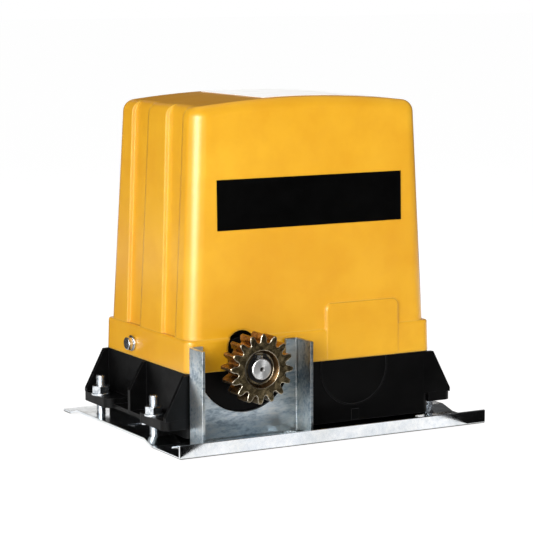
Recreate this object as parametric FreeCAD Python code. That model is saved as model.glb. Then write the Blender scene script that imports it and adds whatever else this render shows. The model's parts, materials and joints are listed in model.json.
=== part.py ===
"""Sliding gate motor: an output pinion driven by a worm gear and a vertical DC motor, with battery
and control board under a moulded cover, standing on a folded foundation plate.

Frame: millimetres, +Z up, the pinion faces -Y, the gate runs along X.  The origin lies on the floor,
under the middle of the foundation plate.
"""
import FreeCAD, Part
import math
import os

V = FreeCAD.Vector
os.makedirs("parts", exist_ok=True)

# ---------------------------------------------------------------- driving dimensions (mm)
RUN = 0.04                    # radial running clearance of a shaft in a bearing
FIT = 0.3                     # clearance round a screw or stud in its hole
SHELL_FIT = 0.6               # clearance between cover skirt and housing rim

# foundation plate
PLATE_W = 363.0
PLATE_D = 283.0
PLATE_T = 2.5
PLATE_RISE = 5.1              # how far the middle zone stands above the floor
PLATE_FLANGE = 14.3           # height of the upturned front edge
PLATE_FRONT = 61.6            # flat zone behind the front edge
PLATE_RAMP = 19.4
PLATE_BACK = 16.5             # flat zone along the back edge
SLOT_IN = 23.5                # anchor slots: from the plate's ends, rows from its middle, size
SLOT_Y0 = -98.0
SLOT_Y1 = 3.0
SLOT_R = 5.5
SLOT_LEN = 22.0
CABLE_R = 25.0                # conduit hole
CABLE_X = -3.0
CABLE_Y = 62.0

# body position and outline (the skirt of the cover)
BODY_X = -0.75
BODY_Y = 7.2
SKIRT_W = PLATE_W - 70.5
SKIRT_D = PLATE_D - 86.0
SKIRT_Z0 = 74.3
SKIRT_H = 33.1
SKIRT_R = 10.0
SKIRT_DRAFT = 1.0
COVER_T = 3.0
COVER_STEP = 3.0
COVER_TOP = 349.6
COVER_CROWN_R = 1050.0
COVER_EDGE_R = 13.0
COVER_CORNER_R = 16.0
TAPER_END = 0.045             # inward lean per mm of height: ends, front, back
TAPER_FRONT = 0.021
TAPER_BACK = 0.040
GROOVE_DEPTH = 4.0
GROOVES = ((49.4, 50.8, 31.7, 36.5), (131.5, 130.7, 32.1, 37.2))   # centre from the front, low and high; widths
PANEL_X0 = 163.0              # from the left end of the skirt
PANEL_W = 88.7
PANEL_Z1 = 133.8
PANEL_PROUD = 2.7
PANEL_LOW_PROUD = 0.4
COVER_SCREW_Y = 37.0
COVER_SCREW_Z = 88.0
COVER_SCREW_R = 4.0
ARCH_R = 16.7
ARCH_Z = 97.6

# base housing
BASE_T = 3.5
BASE_FLOOR = 30.0
RIM_TOP = 103.0
FOOT_OUT = 27.0
FOOT_Z0 = 18.5
FOOT_T = 10.0
FOOT_R = 9.0
FOOT_LEN = 62.0
STUD_OUT = 20.5               # stud distance from the housing wall
STUD_IN = (35.8, 32.2)        # stud rows: from the front and from the back of the skirt
GUSSET_T = 5.0

# gear train
SHAFT_IN = 63.5               # output shaft, from the left end of the skirt
SHAFT_Z = 80.4
SHAFT_R = 11.0
PINION_Y0 = -132.1
PINION_W = 22.0
PINION_TEETH = 16
PINION_M = 4.0
RECESS_R = 19.5
RECESS_DEPTH = 5.5
WHEEL_M = 2.5
WHEEL_TEETH = 30
WHEEL_IN = 49.3               # worm wheel, behind the front of the skirt
WHEEL_W = 22.0
WORM_PITCH_R = 12.5
BACKLASH = 0.45
BEARING_OUT = 21.0            # 20 x 42 x 12 ball bearings on the output shaft
BEARING_IN = 10.0
BEARING_W = 12.0
WORM_BEARING_OUT = 16.0       # 15 x 32 x 9 ball bearings on the worm
WORM_BEARING_IN = 7.5
WORM_BEARING_W = 9.0
LID_Z = 124.0
LID_T = 14.0
MOTOR_R = 38.0
MOTOR_LEN = 112.0
END_CAP_H = 20.0

# pinion guard
GUARD_W = 127.5
GUARD_D = 31.7
GUARD_T = 3.0
GUARD_TOP = 102.4
GUARD_GAP = 1.2               # between its web and the cover
GUARD_CUT_R = 55.3
GUARD_CUT_HALF = 48.0
GUARD_CUT_Z = 86.2

# power and control
BATTERY = (65.0, 151.0, 94.0)
BATTERY_IN = 83.5             # from the right end of the skirt
BOARD = (150.0, 1.6, 120.0)
BOARD_IN = 77.0               # from the left end of the skirt
BOARD_BACK = 63.7             # from the back of the skirt
BOARD_Z = 158.0
LABEL_W = 219.0
LABEL_H = 51.5
LABEL_Z = 242.8
LABEL_T = 0.6
TOP_LABEL_X = (-44.0, 113.0)  # from the middle of the cover
TOP_LABEL_EDGE = 27.0         # from the front of the skirt

STUD_R = 5.0
NUT_AF = 17.0
NUT_H = 8.0
WASHER_R = 10.0
WASHER_T = 2.0

# ---------------------------------------------------------------- derived sizes
FRONT_Y = BODY_Y - SKIRT_D / 2
BACK_Y = BODY_Y + SKIRT_D / 2
LEFT_X = BODY_X - SKIRT_W / 2
RIGHT_X = BODY_X + SKIRT_W / 2
SKIRT_Z1 = SKIRT_Z0 + SKIRT_H
SHAFT_X = LEFT_X + SHAFT_IN
WHEEL_Y = FRONT_Y + WHEEL_IN
BATTERY_X = RIGHT_X - BATTERY_IN
BOARD_X = LEFT_X + BOARD_IN
BOARD_Y = BACK_Y - BOARD_BACK
SLOT_X = PLATE_W / 2 - SLOT_IN
STUD_Y = (FRONT_Y + STUD_IN[0], BACK_Y - STUD_IN[1])
FEET_Y = ((FRONT_Y + 0.3, FRONT_Y + 0.3 + FOOT_LEN), (BACK_Y + 1.3 - FOOT_LEN, BACK_Y + 1.3))
DECK = PLATE_RISE + PLATE_T                    # top of the plate's raised zone
WHEEL_R = WHEEL_M * WHEEL_TEETH / 2
WORM_X = SHAFT_X + WHEEL_R + WORM_PITCH_R
PINION_BACK = PINION_Y0 + PINION_W
FOOT_Z1 = FOOT_Z0 + FOOT_T
PLATE_Y0 = -PLATE_D / 2
GUARD_Y1 = FRONT_Y - GUARD_GAP
GUARD_Y0 = GUARD_Y1 - GUARD_D


# ---------------------------------------------------------------- helpers
def box(x0, x1, y0, y1, z0, z1):
    return Part.makeBox(x1 - x0, y1 - y0, z1 - z0, V(x0, y0, z0))


def rod(base, axis, r, h):
    return Part.makeCylinder(r, h, V(*base), V(*axis))


def ring(base, axis, r1, r0, h):
    return rod(base, axis, r1, h).cut(rod(base, axis, r0, h))


def prism(points, direction):
    pts = [V(*p) for p in points]
    return Part.Face(Part.makePolygon(pts + pts[:1])).extrude(V(*direction))


def hexagon(cx, cy, cz, axis, af, h):
    """Hexagonal prism of across-flats af, standing on (cx, cy, cz) along a main axis."""
    r = af / math.sqrt(3)
    pts = []
    for k in range(6):
        a, b = r * math.cos(k * math.pi / 3), r * math.sin(k * math.pi / 3)
        pts.append({"z": (cx + a, cy + b, cz), "x": (cx, cy + a, cz + b), "y": (cx + a, cy, cz + b)}[axis])
    step = {"z": (0, 0, h), "x": (h, 0, 0), "y": (0, h, 0)}[axis]
    return prism(pts, step)


def fuse(shapes):
    first, rest = shapes[0], list(shapes[1:])
    return first.fuse(rest) if rest else first


def rounded_wire(x0, x1, y0, y1, r, z):
    """Rectangle with round corners, as a closed wire at height z."""
    c = math.sqrt(0.5) * r
    edges = []
    corners = ((x1 - r, y0 + r, -1), (x1 - r, y1 - r, 0), (x0 + r, y1 - r, 1), (x0 + r, y0 + r, 2))
    ends = []
    for cx, cy, q in corners:
        a = [math.pi / 2 * q + t for t in (0, math.pi / 4, math.pi / 2)]
        p = [V(cx + r * math.cos(t), cy + r * math.sin(t), z) for t in a]
        edges.append(Part.Arc(p[0], p[1], p[2]).toShape())
        ends.append((p[0], p[2]))
    out = []
    for k in range(4):
        out.append(edges[k])
        out.append(Part.makeLine(ends[k][1], ends[(k + 1) % 4][0]))
    return Part.Wire(out)


def rounded_prism(x0, x1, y0, y1, r, z0, z1):
    return Part.Face(rounded_wire(x0, x1, y0, y1, r, z0)).extrude(V(0, 0, z1 - z0))


def fillet(shape, r, pick):
    """Round the edges that pick(edge) chooses."""
    edges = [e for e in shape.Edges if pick(e)]
    return shape.makeFillet(r, edges) if edges else shape


def round_screw(x, y, z, axis, r, length, head_r, head_h):
    """Pan-head screw: head seat at (x, y, z), shank along -axis."""
    a = V(*axis)
    seat = V(x, y, z)
    shank = Part.makeCylinder(r, length, seat - a * length, a)
    head = Part.makeCylinder(head_r, head_h, seat, a)
    head = fillet(head, head_h * 0.4, lambda e: (e.CenterOfMass - seat).dot(a) > head_h * 0.9
                  and e.Length > head_r)
    w = head_r * 0.22
    u = V(a.z, a.x, a.y)
    v = a.cross(u)
    slot = []
    for p, q in ((u, v), (v, u)):
        c = seat + a * (head_h * 0.45)
        pts = [c + p * (s * head_r * 0.62) + q * (t * w) for s, t in ((-1, -1), (1, -1), (1, 1), (-1, 1))]
        slot.append(Part.Face(Part.makePolygon(pts + pts[:1])).extrude(a * head_h))
    return shank.fuse(head).cut(slot[0]).cut(slot[1])


def save(name, shape):
    if shape.ShapeType == "Compound" and len(shape.Solids) == 1:
        shape = shape.Solids[0]
    if not shape.isValid():
        shape.fix(1e-4, 1e-4, 1e-3)
    shape.exportStep("parts/%s.step" % name)


# ---------------------------------------------------------------- foundation plate and guard
def plate_profile():
    """Side outline of the folded sheet, drawn in the Y-Z plane at the left edge."""
    x = -PLATE_W / 2
    y0, y1 = PLATE_Y0, -PLATE_Y0
    ya = y0 + PLATE_FRONT
    yb = ya + PLATE_RAMP
    yd = y1 - PLATE_BACK
    yc = yd - PLATE_RAMP
    t, h = PLATE_T, PLATE_RISE
    low = [(y0, 0), (ya, 0), (yb, h), (yc, h), (yd, 0), (y1, 0)]
    top = [(y1, t), (yd, t), (yc, h + t), (yb, h + t), (ya, t), (y0 + t, t), (y0 + t, PLATE_FLANGE),
           (y0, PLATE_FLANGE)]
    return [(x, y, z) for y, z in low + top]


def stud_places():
    return [(x, y) for x in (LEFT_X - STUD_OUT, RIGHT_X + STUD_OUT) for y in STUD_Y]


def slot_cut(x, y):
    half = SLOT_LEN / 2 - SLOT_R
    z0, z1 = -1, DECK + 1
    return fuse([box(x - half, x + half, y - SLOT_R, y + SLOT_R, z0, z1),
                 rod((x - half, y, z0), (0, 0, 1), SLOT_R, z1 - z0),
                 rod((x + half, y, z0), (0, 0, 1), SLOT_R, z1 - z0)])


def guard_screw_places():
    inset = 20.0
    return [(SHAFT_X + s * (GUARD_W / 2 - inset), GUARD_Y0 + 13.0) for s in (-1, 1)]


def foundation_plate():
    body = prism(plate_profile(), (PLATE_W, 0, 0))
    bend = lambda e: abs(e.BoundBox.YMin - PLATE_Y0) < 0.01 and e.BoundBox.ZMax < 0.01
    body = fillet(body, 1.6, bend)
    for x in (-SLOT_X, SLOT_X):
        for y in (SLOT_Y0, SLOT_Y1):
            body = body.cut(slot_cut(x, y))
    body = body.cut(rod((CABLE_X, CABLE_Y, -1), (0, 0, 1), CABLE_R, DECK + 2))
    for x, y in stud_places():
        body = body.cut(rod((x, y, -1), (0, 0, 1), STUD_R + FIT, DECK + 2))
    for x, y in guard_screw_places():
        body = body.cut(rod((x, y, -1), (0, 0, 1), 3.0 + FIT, DECK + 2))
    return body


def pinion_guard():
    x0, x1 = SHAFT_X - GUARD_W / 2, SHAFT_X + GUARD_W / 2
    y0, y1, t = GUARD_Y0, GUARD_Y1, GUARD_T
    z0 = PLATE_T
    pts = [(x0, y0, z0), (x0 + t, y0, z0), (x0 + t, y1 - t, z0), (x1 - t, y1 - t, z0), (x1 - t, y0, z0),
           (x1, y0, z0), (x1, y1, z0), (x0, y1, z0)]
    body = prism(pts, (0, 0, GUARD_TOP - z0))
    outer = lambda e: e.BoundBox.ZLength > 50 and abs(e.BoundBox.YMin - y1) < 0.01
    inner = lambda e: e.BoundBox.ZLength > 50 and abs(e.BoundBox.YMin - (y1 - t)) < 0.01
    body = fillet(body, 1.6 * t, outer)
    body = fillet(body, 0.6 * t, inner)
    mouth = rod((SHAFT_X, y0 + 1, GUARD_CUT_Z), (0, 1, 0), GUARD_CUT_R, GUARD_D)
    tall = box(SHAFT_X - GUARD_CUT_HALF, SHAFT_X + GUARD_CUT_HALF, y0 + 1, y1 + 1, 0, GUARD_TOP + 1)
    upper = box(SHAFT_X - GUARD_CUT_HALF, SHAFT_X + GUARD_CUT_HALF, y0 + 1, y1 + 1, GUARD_CUT_Z, GUARD_TOP + 1)
    body = body.cut(mouth.common(tall).fuse(upper))
    foot = box(x0 + 8, x1 - 8, y0 + 4, y1 - t, z0, z0 + t)
    foot = fillet(foot, 4.0, lambda e: e.BoundBox.ZLength > t - 0.1 and e.BoundBox.YMin < y0 + 5)
    body = body.fuse(foot).removeSplitter()
    for x, y in guard_screw_places():
        body = body.cut(rod((x, y, 0), (0, 0, 1), 3.0 + FIT, 20))
    return body


def guard_screws():
    """M6 socket screws that hold the guard's foot on the plate."""
    out = []
    for x, y in guard_screw_places():
        z = PLATE_T + GUARD_T
        head = fillet(rod((x, y, z), (0, 0, 1), 6.0, 2.6), 1.0,
                      lambda e: e.BoundBox.ZMin > z + 2.5 and e.Length > 20)
        shank = rod((x, y, 0.3), (0, 0, 1), 3.0, z - 0.3)
        out.append(head.fuse(shank).cut(hexagon(x, y, z + 0.8, "z", 4.0, 3)))
    return out


# ---------------------------------------------------------------- studs, nuts, washers
def studs():
    out = []
    for x, y in stud_places():
        z1 = FOOT_Z1 + WASHER_T + NUT_H + 11.0
        s = rod((x, y, 0.4), (0, 0, 1), STUD_R, z1 - 0.4)
        s = s.makeChamfer(0.9, [e for e in s.Edges if e.BoundBox.ZMin > z1 - 0.01 and e.Length > 20])
        out.append(s)
    return out


def nut(x, y, z, h):
    """Hexagonal nut with its corners turned off on both faces and a plain bore."""
    body = hexagon(x, y, z, "z", NUT_AF, h)
    r = NUT_AF / math.sqrt(3)
    c = 1.0
    cone = Part.makeCone(r - c, r + 0.6, c * 0.8, V(x, y, z))
    mid = rod((x, y, z + c * 0.8), (0, 0, 1), r + 0.6, h - 1.6 * c)
    top = Part.makeCone(r + 0.6, r - c, c * 0.8, V(x, y, z + h - 0.8 * c))
    body = body.common(cone.fuse([mid, top]))
    return body.cut(rod((x, y, z - 1), (0, 0, 1), STUD_R + 0.05, h + 2))


def fixing_nuts():
    return [nut(x, y, FOOT_Z1 + WASHER_T, NUT_H) for x, y in stud_places()]


def fixing_washers():
    return [ring((x, y, FOOT_Z1), (0, 0, 1), WASHER_R, STUD_R + FIT, WASHER_T) for x, y in stud_places()]


# ---------------------------------------------------------------- base housing
def gusset(side, y, lower):
    """Triangular web between the housing's end wall and a foot; side is -1 left, +1 right."""
    x = LEFT_X if side < 0 else RIGHT_X
    if lower:
        outline = ((-SKIRT_R, SKIRT_Z0 - 1), (3.5, SKIRT_Z0 - 1.5), (FOOT_OUT - 2, FOOT_Z1 + 3),
                   (FOOT_OUT - 2, FOOT_Z1 - 1), (-SKIRT_R, FOOT_Z1 - 1))
    else:
        outline = ((-2, SKIRT_Z0 - 1), (2.5, SKIRT_Z0 - 1.5), (FOOT_OUT * 0.7, 44), (FOOT_OUT * 0.7, FOOT_Z0),
                   (-2, FOOT_Z0))
    pts = [(x + side * u, y, w) for u, w in outline]
    return prism(pts, (0, GUSSET_T, 0))


def foot(side, y0, y1):
    x0, x1 = ((LEFT_X - FOOT_OUT, LEFT_X + 2) if side < 0 else (RIGHT_X - 2, RIGHT_X + FOOT_OUT))
    body = box(x0, x1, y0, y1, FOOT_Z0, FOOT_Z1)
    out = x0 if side < 0 else x1
    body = fillet(body, FOOT_R, lambda e: e.BoundBox.ZLength > FOOT_T - 0.1 and abs(e.BoundBox.XMin - out) < 0.1)
    return body


def gear_case_cut():
    """The oil space round the worm wheel and the worm, open to the top."""
    z1 = LID_Z + 1
    half = WHEEL_W / 2 + 3
    well = rod((SHAFT_X, WHEEL_Y - half, SHAFT_Z), (0, 1, 0), WHEEL_R + WHEEL_M + 4, 2 * half)
    above = box(SHAFT_X - WHEEL_R - WHEEL_M - 4, SHAFT_X + WHEEL_R, WHEEL_Y - half, WHEEL_Y + half, SHAFT_Z, z1)
    shaft_well = rod((WORM_X, WHEEL_Y, BASE_FLOOR + 20), (0, 0, 1), WORM_PITCH_R + WHEEL_M + 4, z1)
    return fuse([well, above, shaft_well])


def gear_case():
    """Solid block that carries the bearings; it is part of the base housing's moulding."""
    x0 = SHAFT_X - WHEEL_R - WHEEL_M - 10
    x1 = WORM_X + WORM_PITCH_R + WHEEL_M + 10
    y0 = WHEEL_Y - WHEEL_W / 2 - 3 - BEARING_W - 5
    y1 = WHEEL_Y + WHEEL_W / 2 + 3 + BEARING_W + 4
    return rounded_prism(x0, x1, y0, y1, 9, BASE_FLOOR - 1, LID_Z)


def bearing_y():
    """Front faces of the front and rear bearings of the output shaft."""
    gap = WHEEL_W / 2 + 3
    return WHEEL_Y - gap - BEARING_W, WHEEL_Y + gap


def lid_screw_places():
    x0 = SHAFT_X - WHEEL_R - WHEEL_M - 10
    x1 = WORM_X + WORM_PITCH_R + WHEEL_M + 10
    y0 = WHEEL_Y - WHEEL_W / 2 - 3 - BEARING_W - 5
    y1 = WHEEL_Y + WHEEL_W / 2 + 3 + BEARING_W + 4
    d = 7.0
    return [(x, y) for x in (x0 + d, x1 - d) for y in (y0 + d, y1 - d)]


def cover_ends():
    return [(LEFT_X, -1), (RIGHT_X, 1)]


def base_housing():
    lower = rounded_prism(LEFT_X + 0.3, RIGHT_X - 0.3, FRONT_Y + 0.3, BACK_Y - 0.3, SKIRT_R, DECK, SKIRT_Z0 - 0.5)
    inset = COVER_T + SHELL_FIT
    rim = rounded_prism(LEFT_X + inset, RIGHT_X - inset, FRONT_Y + inset, BACK_Y - inset, SKIRT_R - inset,
                        SKIRT_Z0 - 2, RIM_TOP)
    body = lower.fuse(rim)
    a = inset + BASE_T
    upper_room = rounded_prism(LEFT_X + a, RIGHT_X - a, FRONT_Y + a, BACK_Y - a, SKIRT_R - a, BASE_FLOOR + BASE_T,
                               RIM_TOP + 1)
    lower_room = rounded_prism(LEFT_X + a, RIGHT_X - a, FRONT_Y + a, BACK_Y - a, SKIRT_R - a, DECK - 1, BASE_FLOOR)
    body = body.cut(upper_room).cut(lower_room)
    ribs = []
    for x in (LEFT_X + SKIRT_W * k / 3 for k in (1, 2)):
        ribs.append(box(x - 1.5, x + 1.5, FRONT_Y + 3, BACK_Y - 3, DECK + 2, BASE_FLOOR + 1))
    ribs.append(box(LEFT_X + 3, RIGHT_X - 3, BODY_Y - 1.5, BODY_Y + 1.5, DECK + 2, BASE_FLOOR + 1))
    case = gear_case()
    feet, webs = [], []
    for side in (-1, 1):
        for y0, y1 in FEET_Y:
            feet.append(foot(side, y0, y1))
        webs.append(gusset(side, FRONT_Y + 0.4, True))
        webs.append(gusset(side, BACK_Y - 0.4 - GUSSET_T, True))
        webs.append(gusset(side, BODY_Y - GUSSET_T / 2, False))
        x = LEFT_X if side < 0 else RIGHT_X
        webs.append(box(min(x - side * 2, x + side * FOOT_OUT * 0.7), max(x - side * 2, x + side * FOOT_OUT * 0.7),
                        FEET_Y[0][1] - 1, FEET_Y[1][0] + 1, FOOT_Z0, FOOT_Z0 + 4))
    body = body.fuse(ribs + [case] + feet + webs)
    f0, f1 = bearing_y()
    boss_y = FRONT_Y + 0.3
    body = body.fuse(rod((SHAFT_X, boss_y, SHAFT_Z), (0, 1, 0), ARCH_R - 1.0, 30))
    body = body.fuse(rod((SHAFT_X, FRONT_Y + inset, SHAFT_Z), (0, 1, 0), BEARING_OUT + 6, f0 - FRONT_Y))
    body = body.cut(gear_case_cut())
    seal_r, seal_w = 14.0, 6.0
    body = body.cut(rod((SHAFT_X, boss_y - 1, SHAFT_Z), (0, 1, 0), seal_r, seal_w + 1))
    body = body.cut(rod((SHAFT_X, boss_y, SHAFT_Z), (0, 1, 0), BEARING_IN + 1.5, f0 - boss_y + 1))
    body = body.cut(rod((SHAFT_X, f0, SHAFT_Z), (0, 1, 0), BEARING_OUT, 40))
    body = body.cut(rod((SHAFT_X, f1 - 5, SHAFT_Z), (0, 1, 0), BEARING_OUT, BEARING_W + 5))
    body = body.cut(rod((WORM_X, WHEEL_Y, BASE_FLOOR + 11), (0, 0, 1), WORM_BEARING_OUT, 20))
    body = body.cut(rod((WORM_X, WHEEL_Y, BASE_FLOOR + 8), (0, 0, 1), WORM_BEARING_IN + 3, 20))
    for x, y in stud_places():
        body = body.cut(rod((x, y, FOOT_Z0 - 1), (0, 0, 1), STUD_R + FIT, FOOT_T + 4))
    for x, y in lid_screw_places():
        body = body.cut(rod((x, y, LID_Z - 16), (0, 0, 1), 2.0 + FIT, 20))
    for x, side in cover_ends():
        a, b, half = x - side * 1, x - side * 12, COVER_SCREW_R + FIT
        body = body.cut(rod((a, COVER_SCREW_Y, COVER_SCREW_Z), (-side, 0, 0), half, 11))
        body = body.cut(box(min(a, b), max(a, b), COVER_SCREW_Y - half, COVER_SCREW_Y + half,
                            COVER_SCREW_Z, RIM_TOP + 1))
    body = body.cut(rod((CABLE_X, CABLE_Y, BASE_FLOOR - 3), (0, 0, 1), 12.0 + FIT, 12))
    # embossed arc and pad on the front wall, clear of the guard
    badge = ring((49.0, FRONT_Y - 0.5, 65.3), (0, 1, 0), 41.0, 39.4, 2).common(
        box(-20, 120, FRONT_Y - 1, FRONT_Y + 3, DECK + 2, SKIRT_Z0 - 1))
    pad = box(46, 55, FRONT_Y - 0.5, FRONT_Y + 2, DECK + 1, 20)
    return body.fuse([badge, pad])


def lid_screws():
    return [round_screw(x, y, LID_Z + 5, (0, 0, 1), 2.0, 18, 4.0, 2.8) for x, y in lid_screw_places()]


def gearbox_lid():
    x0 = SHAFT_X - WHEEL_R - WHEEL_M - 10
    x1 = WORM_X + WORM_PITCH_R + WHEEL_M + 10
    y0 = WHEEL_Y - WHEEL_W / 2 - 3 - BEARING_W - 5
    y1 = WHEEL_Y + WHEEL_W / 2 + 3 + BEARING_W + 4
    body = rounded_prism(x0, x1, y0, y1, 9, LID_Z, LID_Z + 5)
    neck = Part.makeCone(24, 21, LID_T - 5, V(WORM_X, WHEEL_Y, LID_Z + 5))
    seat = rod((WORM_X, WHEEL_Y, LID_Z + LID_T - 4), (0, 0, 1), MOTOR_R, 4)
    webs = [box(WORM_X - 36, WORM_X + 18, WHEEL_Y - 2, WHEEL_Y + 2, LID_Z + 4, LID_Z + LID_T - 1),
            box(WORM_X - 2, WORM_X + 2, WHEEL_Y - 30, WHEEL_Y + 30, LID_Z + 4, LID_Z + LID_T - 1)]
    body = body.fuse([neck, seat] + webs)
    body = body.cut(rod((WORM_X, WHEEL_Y, LID_Z - 1), (0, 0, 1), WORM_BEARING_OUT, WORM_BEARING_W + 1))
    body = body.cut(rod((WORM_X, WHEEL_Y, LID_Z), (0, 0, 1), WORM_BEARING_IN + 3, LID_T + 2))
    for x, y in lid_screw_places():
        body = body.cut(rod((x, y, LID_Z - 1), (0, 0, 1), 2.0 + FIT, 10))
        body = body.cut(rod((x, y, LID_Z + 5), (0, 0, 1), 5.0, LID_T))
    return body


# ---------------------------------------------------------------- gear train
def involute(rb, t):
    """Point of the involute of base radius rb at roll angle t, starting on the X axis."""
    return rb * (math.cos(t) + t * math.sin(t)), rb * (math.sin(t) - t * math.cos(t))


def gear_wire(m, z, y, cx, cz, turn, tip, root, thin, pressure=20.0):
    """Closed outline of an involute gear in the X-Z plane, with round tips and roots."""
    rp = m * z / 2
    rb = rp * math.cos(math.radians(pressure))
    ra, rf = rp + tip * m, rp - root * m
    t_p = math.sqrt((rp / rb) ** 2 - 1)
    px, py = involute(rb, t_p)
    half = math.pi / (2 * z) - thin / (2 * rp) + math.atan2(py, px)
    t_a = math.sqrt((ra / rb) ** 2 - 1)
    roll0 = math.sqrt(max((max(rf + 0.25 * m, rb) / rb) ** 2 - 1, 0))
    flank = [involute(rb, roll0 + (t_a - roll0) * k / 5) for k in range(6)]
    edges, first, last = [], None, None

    def at(r, a):
        return V(cx + r * math.cos(a), y, cz + r * math.sin(a))

    for k in range(z):
        c = turn + 2 * math.pi * k / z
        right = [(math.hypot(*p), c - half + math.atan2(p[1], p[0])) for p in flank]
        left = [(r, 2 * c - a) for r, a in reversed(right)]
        foot_r = at(rf + 0.3 * m, right[0][1] - 0.02) if right[0][0] > rf + 0.3 * m else at(*right[0])
        foot_l = at(rf + 0.3 * m, left[-1][1] + 0.02) if right[0][0] > rf + 0.3 * m else at(*left[-1])
        if last is not None:
            mid = turn + 2 * math.pi * (k - 0.5) / z
            edges.append(Part.Arc(last, at(rf, mid), foot_r).toShape())
        else:
            first = foot_r
        pts = [foot_r] * (foot_r.distanceToPoint(at(*right[0])) > 1e-6) + [at(*p) for p in right]
        curve = Part.BSplineCurve()
        curve.interpolate(pts)
        edges.append(curve.toShape())
        edges.append(Part.Arc(at(*right[-1]), at(ra, c), at(*left[0])).toShape())
        pts = [at(*p) for p in left] + [foot_l] * (foot_l.distanceToPoint(at(*left[-1])) > 1e-6)
        curve = Part.BSplineCurve()
        curve.interpolate(pts)
        edges.append(curve.toShape())
        last = foot_l
    mid = turn + 2 * math.pi * (z - 0.5) / z
    edges.append(Part.Arc(last, at(rf, mid), first).toShape())
    return Part.Wire(edges)


def key_slot(y0, y1, r):
    """Key space of the output shaft: 6 x 6 key, set 3.5 mm deep into a shaft of radius r."""
    return box(SHAFT_X - 3, SHAFT_X + 3, y0, y1, SHAFT_Z + r - 3.5, SHAFT_Z + r + 2.5)


def pinion_key_y():
    return PINION_Y0 + RECESS_DEPTH + 1.0, PINION_BACK - 1.0


def wheel_key_y():
    return WHEEL_Y - 9.0, WHEEL_Y + 9.0


def pinion():
    outline = gear_wire(PINION_M, PINION_TEETH, PINION_Y0, SHAFT_X, SHAFT_Z, math.radians(-3.5), 1.0, 1.22, 0.2)
    body = Part.Face(outline).extrude(V(0, PINION_W, 0))
    a = (SHAFT_X, PINION_Y0, SHAFT_Z)
    ra = PINION_M * (PINION_TEETH / 2 + 1)
    crest = lambda e: (e.BoundBox.YLength > PINION_W - 0.1
                       and abs(math.hypot(e.CenterOfMass.x - SHAFT_X, e.CenterOfMass.z - SHAFT_Z) - ra) < 0.01)
    body = fillet(body, 0.9, crest)
    turned = rod(a, (0, 1, 0), ra, PINION_W)
    turned = turned.makeChamfer(0.8, [e for e in turned.Edges if e.Length > 2 * ra and e.BoundBox.YLength < 0.1])
    body = body.common(turned)
    body = body.cut(rod((SHAFT_X, PINION_Y0 - 1, SHAFT_Z), (0, 1, 0), SHAFT_R + 0.02, PINION_W + 2))
    dish = Part.makeCone(RECESS_R, RECESS_R - 3.5, RECESS_DEPTH, V(*a), V(0, 1, 0))
    body = body.cut(dish)
    y0, y1 = pinion_key_y()
    key = box(SHAFT_X - 3.02, SHAFT_X + 3.02, PINION_Y0 - 1, PINION_BACK + 1, SHAFT_Z, SHAFT_Z + SHAFT_R + 2.55)
    return body.cut(key)


def output_shaft():
    y0 = PINION_Y0 + 0.2
    shoulder = PINION_BACK
    f0, f1 = bearing_y()
    end = f1 + BEARING_W - 0.5
    y_step = FRONT_Y - 6
    parts = [rod((SHAFT_X, y0, SHAFT_Z), (0, 1, 0), SHAFT_R, shoulder - y0),
             rod((SHAFT_X, shoulder, SHAFT_Z), (0, 1, 0), SHAFT_R + 3, y_step - shoulder),
             rod((SHAFT_X, y_step, SHAFT_Z), (0, 1, 0), BEARING_IN - RUN, end - y_step)]
    body = fuse(parts)
    body = body.makeChamfer(1.0, [e for e in body.Edges if abs(e.BoundBox.YMax - y0) < 0.01 and e.Length > 40])
    centre = Part.makeCone(2.6, 0.6, 3.2, V(SHAFT_X, y0, SHAFT_Z), V(0, 1, 0))
    groove = ring((SHAFT_X, PINION_Y0 + RECESS_DEPTH - 1.35, SHAFT_Z), (0, 1, 0), SHAFT_R + 1, SHAFT_R - 0.8, 1.35)
    body = body.cut(centre).cut(groove)
    k0, k1 = pinion_key_y()
    w0, w1 = wheel_key_y()
    return body.cut(key_slot(k0, k1, SHAFT_R)).cut(key_slot(w0, w1, BEARING_IN))


def parallel_key(y0, y1, r):
    c = 0.03
    body = box(SHAFT_X - 3 + c, SHAFT_X + 3 - c, y0 + c, y1 - c, SHAFT_Z + r - 3.5 + c, SHAFT_Z + r + 2.4)
    return body


def retaining_ring():
    """External retaining ring in the pinion's recess, open at the top, with two lug holes."""
    y = PINION_Y0 + RECESS_DEPTH - 1.25
    body = ring((SHAFT_X, y, SHAFT_Z), (0, 1, 0), SHAFT_R + 3.2, SHAFT_R - 0.75, 1.2)
    body = body.cut(box(SHAFT_X - 3.2, SHAFT_X + 3.2, y - 1, y + 3, SHAFT_Z, SHAFT_Z + SHAFT_R + 5))
    for s in (-1, 1):
        lug = rod((SHAFT_X + s * 5.4, y, SHAFT_Z + SHAFT_R + 1.6), (0, 1, 0), 2.2, 1.2)
        hole = rod((SHAFT_X + s * 5.4, y - 1, SHAFT_Z + SHAFT_R + 1.6), (0, 1, 0), 0.9, 4)
        body = body.fuse(lug).cut(hole)
    return body.cut(rod((SHAFT_X, y - 1, SHAFT_Z), (0, 1, 0), SHAFT_R - 0.75, 4))


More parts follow.
